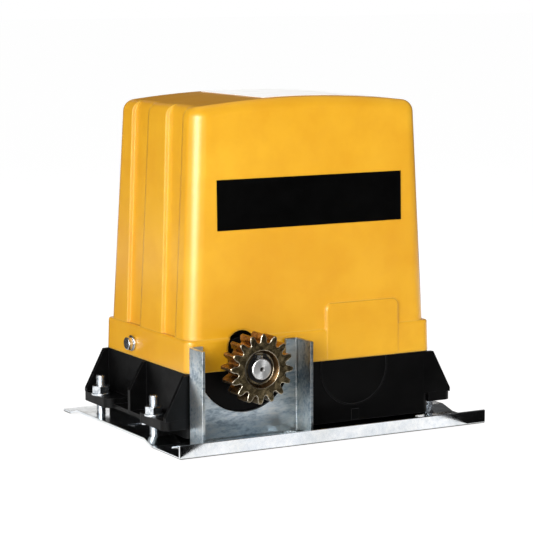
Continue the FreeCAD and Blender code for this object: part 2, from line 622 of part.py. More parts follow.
def worm_wheel():
    """Wheel whose teeth lean by the worm's lead angle; the rim is drawn as three twisted sections."""
    lead = math.atan(WHEEL_M / (2 * WORM_PITCH_R))
    half_w = WHEEL_W / 2
    twist = half_w * math.tan(lead) / WHEEL_R
    wires = []
    for s in (-1, 1):
        wires.append(gear_wire(WHEEL_M, WHEEL_TEETH, WHEEL_Y + s * half_w, SHAFT_X, SHAFT_Z, -s * twist, 0.9, 1.2,
                               BACKLASH))
    body = Part.makeLoft(wires, True, True)
    hub_y0, hub_y1 = WHEEL_Y - half_w - 3 + 0.3, WHEEL_Y + half_w + 3 - 0.3
    hub = rod((SHAFT_X, hub_y0, SHAFT_Z), (0, 1, 0), 15.0, hub_y1 - hub_y0)
    for s in (-1, 1):
        face_y = WHEEL_Y + s * half_w
        dish = ring((SHAFT_X, min(face_y, face_y - s * 5), SHAFT_Z), (0, 1, 0), 28.0, 15.0, 5.0)
        body = body.cut(dish)
    for k in range(6):
        a = math.pi * k / 3
        hole = rod((SHAFT_X + 21.5 * math.cos(a), WHEEL_Y - half_w - 1, SHAFT_Z + 21.5 * math.sin(a)), (0, 1, 0),
                   3.6, WHEEL_W + 2)
        body = body.cut(hole)
    body = body.fuse(hub).cut(rod((SHAFT_X, hub_y0 - 1, SHAFT_Z), (0, 1, 0), BEARING_IN + 0.01, 60))
    return body.cut(box(SHAFT_X - 3.02, SHAFT_X + 3.02, hub_y0 - 1, hub_y1 + 1, SHAFT_Z, SHAFT_Z + BEARING_IN + 2.5))


def ball_bearing(base, axis, r1, r0, w):
    """Ball bearing as one piece: two rings with raised shoulders joined by a recessed shield."""
    a = V(*axis)
    body = ring(base, axis, r1, r0, w)
    d = (r1 - r0)
    for off in (0, w - 0.8):
        b = V(*base) + a * off
        groove = ring((b.x, b.y, b.z), axis, r1 - d * 0.24, r0 + d * 0.24, 0.8)
        body = body.cut(groove)
    return body


def shaft_seal():
    y = FRONT_Y + 0.4
    body = ring((SHAFT_X, y, SHAFT_Z), (0, 1, 0), 13.95, BEARING_IN + 0.05, 5.6)
    return body.cut(ring((SHAFT_X, y - 0.1, SHAFT_Z), (0, 1, 0), 12.2, BEARING_IN + 1.4, 1.6))


def worm_thread(z0, z1):
    """Single-start thread, swept along its helix, with straight flanks."""
    pitch = math.pi * WHEEL_M
    rf, ra = WORM_PITCH_R - 1.2 * WHEEL_M, WORM_PITCH_R + 0.95 * WHEEL_M
    tan = math.tan(math.radians(20))
    half_p = pitch / 4 - BACKLASH / 2
    half_a = half_p - (ra - WORM_PITCH_R) * tan
    half_f = half_p + (WORM_PITCH_R - rf + 0.6) * tan
    helix = Part.makeHelix(pitch, z1 - z0, WORM_PITCH_R)
    pts = [V(rf - 0.6, 0, -half_f), V(ra, 0, -half_a), V(ra, 0, half_a), V(rf - 0.6, 0, half_f)]
    section = Part.makePolygon(pts + pts[:1])
    thread = Part.Wire(helix).makePipeShell([section], True, True)
    return thread, rf


def worm_shaft():
    """Worm and armature shaft in one; the thread is turned into mesh at the wheel's centre height."""
    z_low = BASE_FLOOR + 9.0
    z_top = LID_Z + LID_T + MOTOR_LEN + END_CAP_H + 10
    core_r = WORM_PITCH_R - 1.2 * WHEEL_M
    pitch = math.pi * WHEEL_M
    turns = 5
    t0 = SHAFT_Z - turns * pitch / 2
    thread, rf = worm_thread(0, turns * pitch)
    thread = thread.copy()
    thread.Placement = FreeCAD.Placement(V(WORM_X, WHEEL_Y, t0), FreeCAD.Rotation(V(0, 0, 1), WORM_TURN))
    w0, w1 = BASE_FLOOR + 11, LID_Z
    core = rod((WORM_X, WHEEL_Y, w0 + WORM_BEARING_W), (0, 0, 1), core_r, w1 - w0 - WORM_BEARING_W)
    ends = rod((WORM_X, WHEEL_Y, z_low + 2), (0, 0, 1), WORM_BEARING_IN - RUN, LID_Z + LID_T + 6 - z_low - 2)
    upper = rod((WORM_X, WHEEL_Y, LID_Z + LID_T), (0, 0, 1), 4.0, z_top - LID_Z - LID_T)
    return core.fuse([ends, upper, thread])


WORM_TURN = 180.0             # start angle of the thread: it puts a gap of the worm at the wheel's tooth


# ---------------------------------------------------------------- motor
def motor_can():
    z0 = LID_Z + LID_T
    body = rod((WORM_X, WHEEL_Y, z0), (0, 0, 1), MOTOR_R, MOTOR_LEN)
    body = fillet(body, 3.0, lambda e: e.BoundBox.ZMin > z0 + MOTOR_LEN - 0.1 and e.Length > 50)
    body = body.cut(rod((WORM_X, WHEEL_Y, z0 + 2), (0, 0, 1), MOTOR_R - 2.5, MOTOR_LEN))
    body = body.cut(rod((WORM_X, WHEEL_Y, z0 - 1), (0, 0, 1), 11.0, 5))
    for a in (35, 215):
        u = V(math.cos(math.radians(a)), math.sin(math.radians(a)), 0)
        w = rod((WORM_X + u.x * 30, WHEEL_Y + u.y * 30, z0 + MOTOR_LEN - 16), (u.x, u.y, 0), 4.0, 20)
        body = body.cut(w)
    return body


def motor_magnets():
    z0 = LID_Z + LID_T + 16
    out = []
    shell = ring((WORM_X, WHEEL_Y, z0), (0, 0, 1), MOTOR_R - 2.5, MOTOR_R - 8.5, 66)
    for s in (-1, 1):
        gap = box(WORM_X - 60, WORM_X + 60, WHEEL_Y - 14, WHEEL_Y + 14, z0 - 1, z0 + 70)
        half = box(WORM_X - 60, WORM_X + 60, WHEEL_Y + (0 if s > 0 else -60), WHEEL_Y + (60 if s > 0 else 0),
                   z0 - 1, z0 + 70)
        out.append(shell.common(half).cut(gap))
    return out


def armature_stack():
    z0 = LID_Z + LID_T + 20
    r = MOTOR_R - 9.3
    body = rod((WORM_X, WHEEL_Y, z0), (0, 0, 1), r, 58)
    for k in range(12):
        a = math.pi * k / 6
        slot = box(r - 9, r + 1, -1.4, 1.4, 0, 60)
        slot.Placement = FreeCAD.Placement(V(WORM_X, WHEEL_Y, z0 - 1), FreeCAD.Rotation(V(0, 0, 1), math.degrees(a)))
        body = body.cut(slot)
    return body.cut(rod((WORM_X, WHEEL_Y, z0 - 1), (0, 0, 1), 4.01, 60))


def armature_winding():
    """End turns above and below the stack."""
    z0 = LID_Z + LID_T + 20
    out = []
    for z, h in ((z0 - 9, 9), (z0 + 58, 9)):
        body = ring((WORM_X, WHEEL_Y, z), (0, 0, 1), MOTOR_R - 12, 4.01, h)
        far = z if z < z0 else z + h
        body = fillet(body, 4.0, lambda e: abs(e.BoundBox.ZMin - far) < 0.05 and abs(e.BoundBox.ZMax - far) < 0.05
                      and e.Length > 60)
        out.append(body)
    return out


def commutator():
    z0 = LID_Z + LID_T + 88
    body = ring((WORM_X, WHEEL_Y, z0), (0, 0, 1), 11.0, 4.01, 14)
    for k in range(12):
        cut = box(10.2, 12, -0.35, 0.35, -1, 16)
        cut.Placement = FreeCAD.Placement(V(WORM_X, WHEEL_Y, z0), FreeCAD.Rotation(V(0, 0, 1), 30.0 * k + 15))
        body = body.cut(cut)
    return body


def brush_y():
    return 11.3, MOTOR_R - 7.5


def end_cap():
    z0 = LID_Z + LID_T + MOTOR_LEN
    outer = rod((WORM_X, WHEEL_Y, z0), (0, 0, 1), MOTOR_R, END_CAP_H - 8)
    hub = rod((WORM_X, WHEEL_Y, z0), (0, 0, 1), 14.0, END_CAP_H)
    plug = rod((WORM_X, WHEEL_Y, z0 - 6), (0, 0, 1), MOTOR_R - 2.55, 7)
    body = fuse([outer, hub, plug])
    body = fillet(body, 3.0, lambda e: abs(e.BoundBox.ZMin - (z0 + END_CAP_H - 8)) < 0.05 and e.Length > 200
                  and e.BoundBox.ZLength < 0.1)
    body = body.cut(rod((WORM_X, WHEEL_Y, z0 - 7), (0, 0, 1), MOTOR_R - 6, 12))
    body = body.cut(rod((WORM_X, WHEEL_Y, z0 - 8), (0, 0, 1), 4.0 + RUN, 60))
    return body


def brush_holders():
    """Two carbon brushes in their guides, carried by the end cap."""
    z0 = LID_Z + LID_T + MOTOR_LEN
    r0, r1 = brush_y()
    out = []
    for s in (-1, 1):
        x0, x1 = sorted((WORM_X + s * (r0 + 4), WORM_X + s * r1))
        guide = box(x0, x1, WHEEL_Y - 6, WHEEL_Y + 6, z0 - 21, z0 - 7)
        x0, x1 = sorted((WORM_X + s * r0, WORM_X + s * (r1 - 2)))
        brush = box(x0, x1, WHEEL_Y - 4, WHEEL_Y + 4, z0 - 18, z0 - 11)
        x0, x1 = sorted((WORM_X + s * (r1 - 5), WORM_X + s * r1))
        post = box(x0, x1, WHEEL_Y - 5, WHEEL_Y + 5, z0 - 8, z0 + 5)
        out.append(fuse([guide, brush, post]))
    return out


def encoder_disc():
    z = LID_Z + LID_T + MOTOR_LEN + END_CAP_H + 3
    return ring((WORM_X, WHEEL_Y, z), (0, 0, 1), 11.0, 4.01, 4)


def sensor_board():
    """Small board on two posts beside the encoder disc."""
    z = LID_Z + LID_T + MOTOR_LEN + END_CAP_H - 8
    board = box(WORM_X + 12.2, WORM_X + 30, WHEEL_Y - 9, WHEEL_Y + 9, z + 11, z + 12.6)
    chip = box(WORM_X + 12.4, WORM_X + 16, WHEEL_Y - 2, WHEEL_Y + 2, z + 12.6, z + 14.4)
    posts = [rod((WORM_X + 25, WHEEL_Y + s * 5.5, z), (0, 0, 1), 2.2, 11) for s in (-1, 1)]
    return fuse([board, chip] + posts)


# ---------------------------------------------------------------- power and control
FLOOR_TOP = BASE_FLOOR + BASE_T


def battery():
    w, d, h = BATTERY
    x0, y0 = BATTERY_X, BODY_Y - d / 2
    body = box(x0, x0 + w, y0, y0 + d, FLOOR_TOP, FLOOR_TOP + h)
    body = fillet(body, 2.5, lambda e: e.BoundBox.ZLength > h - 1)
    lid = rounded_prism(x0 + 1, x0 + w - 1, y0 + 1, y0 + d - 1, 2, FLOOR_TOP + h, FLOOR_TOP + h + 1.2)
    tabs = [box(x0 + w - 16, x0 + w - 11, y0 + s, y0 + s + 0.8, FLOOR_TOP + h + 1, FLOOR_TOP + h + 8) for s in (10, 138)]
    return fuse([body, lid] + tabs)


def battery_strap():
    w, d, h = BATTERY
    x0, z1 = BATTERY_X, FLOOR_TOP + h + 1.2
    y = BODY_Y - 12
    top = box(x0 - 2.05, x0 + w + 2.05, y, y + 24, z1, z1 + 2)
    sides = [box(x0 - 2.05, x0 - 0.05, y, y + 24, FLOOR_TOP, z1 + 0.5),
             box(x0 + w + 0.05, x0 + w + 2.05, y, y + 24, FLOOR_TOP, z1 + 0.5)]
    feet = [box(x0 - 12, x0 - 0.05, y, y + 24, FLOOR_TOP, FLOOR_TOP + 2)]
    return fuse([top] + sides + feet)


def transformer():
    x0, y0, z0 = LEFT_X + 19.0, BACK_Y - 83.7, FLOOR_TOP
    core = box(x0, x0 + 56, y0 + 14, y0 + 40, z0 + 3, z0 + 62)
    coil = box(x0 + 14, x0 + 42, y0, y0 + 54, z0 + 16, z0 + 49)
    coil = fillet(coil, 5, lambda e: e.BoundBox.ZLength > 30)
    base = box(x0 - 1, x0 + 57, y0 + 4, y0 + 50, z0, z0 + 3)
    return fuse([core, coil, base])


def board_carrier():
    w, t, h = BOARD
    y = BOARD_Y - 3.0
    x0, x1 = BOARD_X - 6, BOARD_X + w + 6
    panel = box(x0, x1, y - 3, y, BOARD_Z - 8, BOARD_Z + h + 8)
    panel = fillet(panel, 6, lambda e: e.BoundBox.YLength > 2.9 and e.BoundBox.ZLength < 0.1 and e.BoundBox.XLength < 0.1)
    cuts = [box(x0 + 20 + 44 * k, x0 + 50 + 44 * k, y - 4, y + 1, BOARD_Z + 14, BOARD_Z + h - 14) for k in range(3)]
    for c in cuts:
        panel = panel.cut(c)
    legs = []
    for x in (x0 + 14, x1 - 42):
        legs.append(box(x, x + 12, y - 3, y, FLOOR_TOP, BOARD_Z))
        legs.append(box(x, x + 12, y - 15, y, FLOOR_TOP, FLOOR_TOP + 4))
        legs.append(prism([(x + 4, y - 3, FLOOR_TOP), (x + 4, y - 15, FLOOR_TOP), (x + 4, y - 3, BOARD_Z - 30)],
                          (4, 0, 0)))
    studs_ = [rod((x, y, z), (0, 1, 0), 3.5, 3.0) for x in (BOARD_X + 6, BOARD_X + w - 6)
              for z in (BOARD_Z + 6, BOARD_Z + h - 6)]
    return fuse([panel] + legs + studs_)


def control_board():
    w, t, h = BOARD
    body = box(BOARD_X, BOARD_X + w, BOARD_Y, BOARD_Y + t, BOARD_Z, BOARD_Z + h)
    for x in (BOARD_X + 6, BOARD_X + w - 6):
        for z in (BOARD_Z + 6, BOARD_Z + h - 6):
            body = body.cut(rod((x, BOARD_Y - 1, z), (0, 1, 0), 1.7, 4))
    return body


def board_screws():
    w, t, h = BOARD
    out = []
    for x in (BOARD_X + 6, BOARD_X + w - 6):
        for z in (BOARD_Z + 6, BOARD_Z + h - 6):
            out.append(round_screw(x, BOARD_Y + t, z, (0, 1, 0), 1.4, t, 3.0, 2.0))
    return out


def relays():
    y = BOARD_Y + BOARD[1]
    return [box(BOARD_X + 16 + 24 * k, BOARD_X + 35 + 24 * k, y, y + 16, BOARD_Z + 78, BOARD_Z + 93) for k in range(3)]


def capacitors():
    y = BOARD_Y + BOARD[1]
    out = []
    for k, (r, h) in enumerate(((8, 25), (8, 25), (5, 16))):
        body = rod((BOARD_X + 100 + 17 * k, y, BOARD_Z + 86), (0, 1, 0), r, h)
        out.append(fillet(body, 0.8, lambda e: e.BoundBox.YMin > y + h - 0.1 and e.Length > 20))
    return out


def terminal_blocks():
    y = BOARD_Y + BOARD[1]
    out = []
    for x0, n in ((12, 8), (60, 8), (108, 6)):
        body = box(BOARD_X + x0, BOARD_X + x0 + 5 * n, y, y + 12, BOARD_Z + 4, BOARD_Z + 14)
        for k in range(n):
            cx = BOARD_X + x0 + 5 * k + 2.5
            body = body.cut(rod((cx, y + 10, BOARD_Z + 9), (0, 1, 0), 1.8, 4))
            body = body.cut(box(cx - 1.7, cx + 1.7, y + 3, y + 8, BOARD_Z + 3, BOARD_Z + 8))
        out.append(body)
    return out


def heat_sink():
    y = BOARD_Y + BOARD[1]
    body = box(BOARD_X + 20, BOARD_X + 84, y, y + 4, BOARD_Z + 34, BOARD_Z + 62)
    fins = [box(BOARD_X + 20 + 6 * k, BOARD_X + 22 + 6 * k, y + 3, y + 20, BOARD_Z + 34, BOARD_Z + 62) for k in range(11)]
    return fuse([body] + fins)


def cable_gland():
    x, y = CABLE_X, CABLE_Y
    z = FLOOR_TOP
    flange = ring((x, y, z), (0, 0, 1), 17, 7.5, 4)
    neck = ring((x, y, BASE_FLOOR - 9), (0, 0, 1), 12.0, 7.5, z - BASE_FLOOR + 9)
    dome = Part.makeCone(15, 10.5, 14, V(x, y, z + 4)).cut(rod((x, y, z), (0, 0, 1), 7.5, 30))
    lock = hexagon(x, y, BASE_FLOOR - 6, "z", 30, 6).cut(rod((x, y, 0), (0, 0, 1), 11.5, 60))
    return fuse([flange, neck, dome, lock])


# ---------------------------------------------------------------- cover
def flat_sided(low, high):
    """Solid between two polygons with the same number of corners, with flat sides."""
    n = len(low)
    loops = [low, high] + [[low[k], low[(k + 1) % n], high[(k + 1) % n], high[k]] for k in range(n)]
    return Part.Solid(Part.Shell([Part.Face(Part.makePolygon(loop + loop[:1])) for loop in loops]))


def crown(top):
    """Everything below the cover's arched top."""
    half = SKIRT_W / 2 + 20
    drop = COVER_CROWN_R - math.sqrt(COVER_CROWN_R ** 2 - half ** 2)
    y = FRONT_Y - 40
    a, b, c = V(BODY_X - half, y, top - drop), V(BODY_X, y, top), V(BODY_X + half, y, top - drop)
    p, q = V(BODY_X + half, y, 0), V(BODY_X - half, y, 0)
    edge = Part.Wire([Part.Arc(a, b, c).toShape(), Part.makeLine(c, p), Part.makeLine(p, q), Part.makeLine(q, a)])
    return Part.Face(edge).extrude(V(0, SKIRT_D + 80, 0))


def cover_block(inset, ends, widen):
    """Drafted block under the crown, before its edges are rounded."""
    loops = []
    for z in (SKIRT_Z1 - 12, COVER_TOP + 6):
        d = z - SKIRT_Z1
        e = COVER_STEP + inset
        x0, x1 = LEFT_X + e + ends + TAPER_END * d, RIGHT_X - e - ends - TAPER_END * d
        y0, y1 = FRONT_Y + e - widen + TAPER_FRONT * d, BACK_Y - e + widen - TAPER_BACK * d
        loops.append([V(x0, y0, z), V(x1, y0, z), V(x1, y1, z), V(x0, y1, z)])
    return flat_sided(*loops).common(crown(COVER_TOP - inset))


def top_edges(body):
    return [e for e in body.Edges if e.BoundBox.ZMin > COVER_TOP - 40]


def cover_body(inset):
    """The tapered, crowned body of the cover; inset moves every wall inwards."""
    body = cover_block(inset, 0, 0)
    body = body.makeFillet(COVER_CORNER_R - inset, [e for e in body.Edges if e.BoundBox.ZLength > 100])
    return body.makeFillet(COVER_EDGE_R - inset, top_edges(body))


def groove_slabs(grow):
    """The two bands across the cover in which its ends are recessed; grow widens them."""
    out = []
    for y_lo, y_hi, w_lo, w_hi in GROOVES:
        z0, z1 = SKIRT_Z1 + 20, COVER_TOP - 60
        pts = []
        for z in (SKIRT_Z1 - 20, COVER_TOP + 20):
            t = (z - z0) / (z1 - z0)
            c = FRONT_Y + y_lo + (y_hi - y_lo) * t
            w = (w_lo + (w_hi - w_lo) * t) / 2 + grow
            pts.append((c - w, c + w, z))
        (a0, a1, za), (b0, b1, zb) = pts
        outline = [(LEFT_X - 5, a0, za), (LEFT_X - 5, a1, za), (LEFT_X - 5, b1, zb), (LEFT_X - 5, b0, zb)]
        out.append(prism(outline, (SKIRT_W + 10, 0, 0)))
    return out


def grooved(inset, grow):
    """The cover's body with its end grooves; they follow the shoulder of a narrower body."""
    body = cover_body(inset)
    core = cover_block(inset, GROOVE_DEPTH, 20)
    ends = [e for e in top_edges(core) if e.BoundBox.YLength > SKIRT_D / 2]
    core = core.makeFillet(COVER_EDGE_R - inset, ends)
    for slab in groove_slabs(grow):
        body = body.cut(slab.cut(core))
    return body


def front_panel():
    """Raised panel on the cover's front: one leaning face from the skirt's lower edge up."""
    x0, x1 = LEFT_X + PANEL_X0, LEFT_X + PANEL_X0 + PANEL_W
    y_low = FRONT_Y - PANEL_LOW_PROUD
    y_top = FRONT_Y + COVER_STEP + TAPER_FRONT * (PANEL_Z1 - SKIRT_Z1) - PANEL_PROUD
    side = [(x0, y_low, SKIRT_Z0), (x0, y_top, PANEL_Z1), (x0, FRONT_Y + 20, PANEL_Z1), (x0, FRONT_Y + 20, SKIRT_Z0)]
    panel = prism(side, (x1 - x0, 0, 0))
    panel = fillet(panel, 7.0, lambda e: e.BoundBox.YLength > 15 and e.BoundBox.ZMin > PANEL_Z1 - 1)
    return fillet(panel, 1.5, lambda e: e.BoundBox.YMax < y_top + 0.2 and e.BoundBox.ZMax > SKIRT_Z0 + 1)


def cover_shell():
    skirt = Part.makeLoft([rounded_wire(LEFT_X + e, RIGHT_X - e, FRONT_Y + e, BACK_Y - e, SKIRT_R - e, z)
                           for e, z in ((0, SKIRT_Z0), (SKIRT_DRAFT, SKIRT_Z1))], True, True)
    skirt = fillet(skirt, 2.4, lambda e: e.BoundBox.ZMin > SKIRT_Z1 - 0.1)
    outer = grooved(0, 0)
    body = outer.fuse([skirt, front_panel()])
    room = grooved(COVER_T, COVER_T)
    e = COVER_T
    skirt_room = rounded_prism(LEFT_X + e, RIGHT_X - e, FRONT_Y + e, BACK_Y - e, SKIRT_R - e, SKIRT_Z0 - 1,
                               SKIRT_Z1 - COVER_T)
    body = body.cut(room).cut(skirt_room)
    arch = rod((SHAFT_X, FRONT_Y - 5, ARCH_Z), (0, 1, 0), ARCH_R, 20)
    arch = arch.fuse(box(SHAFT_X - ARCH_R, SHAFT_X + ARCH_R, FRONT_Y - 5, FRONT_Y + 15, SKIRT_Z0 - 1, ARCH_Z))
    body = body.cut(arch)
    for x, side in cover_ends():
        hole = rod((x - side * 12, COVER_SCREW_Y, COVER_SCREW_Z), (side, 0, 0), COVER_SCREW_R + FIT, 20)
        body = body.cut(hole)
    return body


def cover_screws():
    """Hexagon-head screws through the ends of the skirt; they slide into open slots in the rim."""
    out = []
    for x, side in cover_ends():
        seat = x + side * 1.7
        head = hexagon(seat, COVER_SCREW_Y, COVER_SCREW_Z, "x", 13.0, side * 5.4)
        ball = rod((seat - side * 1, COVER_SCREW_Y, COVER_SCREW_Z), (side, 0, 0), 7.2, 6.4)
        ball = ball.makeChamfer(0.8, [e for e in ball.Edges if abs(e.BoundBox.XMin - (seat + side * 5.4)) < 0.01
                                      and e.Length > 40])
        shank = rod((seat - side * 14.5, COVER_SCREW_Y, COVER_SCREW_Z), (side, 0, 0), COVER_SCREW_R, 14.5)
        out.append(head.common(ball).fuse(shank))
    return out


def cover_washers():
    return [ring((x + side * 0.05, COVER_SCREW_Y, COVER_SCREW_Z), (side, 0, 0), 8.4, 4.2, 1.6)
            for x, side in cover_ends()]


def cover_nuts():
    """Nuts that pull the skirt against the housing's rim from inside."""
    out = []
    for x, side in cover_ends():
        start = x - side * (COVER_T + SHELL_FIT + BASE_T + 0.2)
        nut_body = hexagon(start, COVER_SCREW_Y, COVER_SCREW_Z, "x", 13.0, -side * 5.0)
        out.append(nut_body.cut(rod((start + side, COVER_SCREW_Y, COVER_SCREW_Z), (-side, 0, 0),
                                    COVER_SCREW_R + 0.03, 8)))
    return out


def front_label():
    """Blank self-adhesive label, leaning with the front of the cover."""
    d0 = LABEL_Z - LABEL_H / 2 - SKIRT_Z1
    d1 = LABEL_Z + LABEL_H / 2 - SKIRT_Z1
    pts = []
    for d, off in ((d0, 0.0), (d1, 0.0), (d1, LABEL_T), (d0, LABEL_T)):
        pts.append((-LABEL_W / 2, FRONT_Y + COVER_STEP + TAPER_FRONT * d - off, SKIRT_Z1 + d))
    body = prism(pts, (LABEL_W, 0, 0))
    return body


def top_label():
    """Blank label on the crown of the cover."""
    y0, y1 = FRONT_Y + TOP_LABEL_EDGE, BACK_Y - TOP_LABEL_EDGE - 6.0
    axis = (BODY_X, y0, COVER_TOP - COVER_CROWN_R)
    sheet = ring(axis, (0, 1, 0), COVER_CROWN_R + 0.55, COVER_CROWN_R + 0.05, y1 - y0)
    return sheet.common(box(BODY_X + TOP_LABEL_X[0], BODY_X + TOP_LABEL_X[1], y0, y1, COVER_TOP - 20, COVER_TOP + 5))


# ---------------------------------------------------------------- output
def main():
    f0, f1 = bearing_y()
    y_axis, z_axis = (0, 1, 0), (0, 0, 1)
    k0, k1 = pinion_key_y()
    w0, w1 = wheel_key_y()
    low_z = BASE_FLOOR + 11
    pieces = {
        "foundation_plate": foundation_plate(),
        "pinion_guard": pinion_guard(),
        "guard_screws": Part.makeCompound(guard_screws()),
        "mounting_studs": Part.makeCompound(studs()),
        "fixing_nuts": Part.makeCompound(fixing_nuts()),
        "fixing_washers": Part.makeCompound(fixing_washers()),
        "base_housing": base_housing(),
        "gearbox_lid": gearbox_lid(),
        "lid_screws": Part.makeCompound(lid_screws()),
        "pinion": pinion(),
        "output_shaft": output_shaft(),
        "pinion_key": parallel_key(k0, k1, SHAFT_R),
        "wheel_key": parallel_key(w0, w1, BEARING_IN),
        "retaining_ring": retaining_ring(),
        "worm_wheel": worm_wheel(),
        "shaft_seal": shaft_seal(),
        "front_bearing": ball_bearing((SHAFT_X, f0, SHAFT_Z), y_axis, BEARING_OUT - 0.01, BEARING_IN, BEARING_W),
        "rear_bearing": ball_bearing((SHAFT_X, f1, SHAFT_Z), y_axis, BEARING_OUT - 0.01, BEARING_IN, BEARING_W),
        "worm_shaft": worm_shaft(),
        "lower_worm_bearing": ball_bearing((WORM_X, WHEEL_Y, low_z), z_axis, WORM_BEARING_OUT - 0.01,
                                           WORM_BEARING_IN, WORM_BEARING_W),
        "upper_worm_bearing": ball_bearing((WORM_X, WHEEL_Y, LID_Z), z_axis, WORM_BEARING_OUT - 0.01,
                                           WORM_BEARING_IN, WORM_BEARING_W),
        "motor_can": motor_can(),
        "motor_magnets": Part.makeCompound(motor_magnets()),
        "armature_stack": armature_stack(),
        "armature_winding": Part.makeCompound(armature_winding()),
        "commutator": commutator(),
        "end_cap": end_cap(),
        "brush_holders": Part.makeCompound(brush_holders()),
        "encoder_disc": encoder_disc(),
        "sensor_board": sensor_board(),
        "battery": battery(),
        "battery_strap": battery_strap(),
        "transformer": transformer(),
        "board_carrier": board_carrier(),
        "control_board": control_board(),
        "board_screws": Part.makeCompound(board_screws()),
        "relays": Part.makeCompound(relays()),
        "capacitors": Part.makeCompound(capacitors()),
        "terminal_blocks": Part.makeCompound(terminal_blocks()),
        "heat_sink": heat_sink(),
        "cable_gland": cable_gland(),
        "cover_shell": cover_shell(),
        "cover_screws": Part.makeCompound(cover_screws()),
        "cover_washers": Part.makeCompound(cover_washers()),
        "cover_nuts": Part.makeCompound(cover_nuts()),
        "front_label": front_label(),
        "top_label": top_label(),
    }
    for name, shape in pieces.items():
        save(name, shape)


main()
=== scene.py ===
"""Looks of a sliding gate motor: materials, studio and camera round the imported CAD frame."""
import json
import math

import bpy
from mathutils import Matrix, Vector


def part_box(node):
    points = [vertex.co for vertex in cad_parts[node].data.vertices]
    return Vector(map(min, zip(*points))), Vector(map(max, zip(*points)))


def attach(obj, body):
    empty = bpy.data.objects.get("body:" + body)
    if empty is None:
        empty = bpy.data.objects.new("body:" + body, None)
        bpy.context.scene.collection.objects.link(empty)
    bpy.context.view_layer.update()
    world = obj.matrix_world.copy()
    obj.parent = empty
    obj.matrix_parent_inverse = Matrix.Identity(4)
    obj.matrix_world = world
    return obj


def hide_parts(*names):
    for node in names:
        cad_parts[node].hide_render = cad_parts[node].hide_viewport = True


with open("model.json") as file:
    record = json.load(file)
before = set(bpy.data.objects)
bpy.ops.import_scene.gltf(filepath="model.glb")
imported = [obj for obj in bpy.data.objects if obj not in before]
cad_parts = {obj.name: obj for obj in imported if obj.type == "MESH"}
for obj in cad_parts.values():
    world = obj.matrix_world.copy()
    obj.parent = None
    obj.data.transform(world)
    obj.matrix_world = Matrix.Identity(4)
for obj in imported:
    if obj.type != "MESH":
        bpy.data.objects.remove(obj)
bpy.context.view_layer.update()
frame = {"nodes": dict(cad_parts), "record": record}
nodes = frame["nodes"]
X, Y, Z = 0, 1, 2

# ------------------------------------------------------------------ camera
FOCAL_PX = 2179.37            # for a picture 533 pixels wide
YAW, PITCH, ROLL = 29.003, -7.626, -0.163
CAM_AT = (-1.1250, -2.0200, 0.4735)

cam_data = bpy.data.cameras.new("camera")
cam_data.sensor_width = 36.0
cam_data.lens = FOCAL_PX * 36.0 / 533.0
cam = bpy.data.objects.new("camera", cam_data)
bpy.context.scene.collection.objects.link(cam)
turn = (Matrix.Rotation(math.radians(-YAW), 4, "Z") @ Matrix.Rotation(math.radians(90 + PITCH), 4, "X")
        @ Matrix.Rotation(math.radians(ROLL), 4, "Z"))
cam.matrix_world = Matrix.Translation(CAM_AT) @ turn
bpy.context.scene.camera = cam


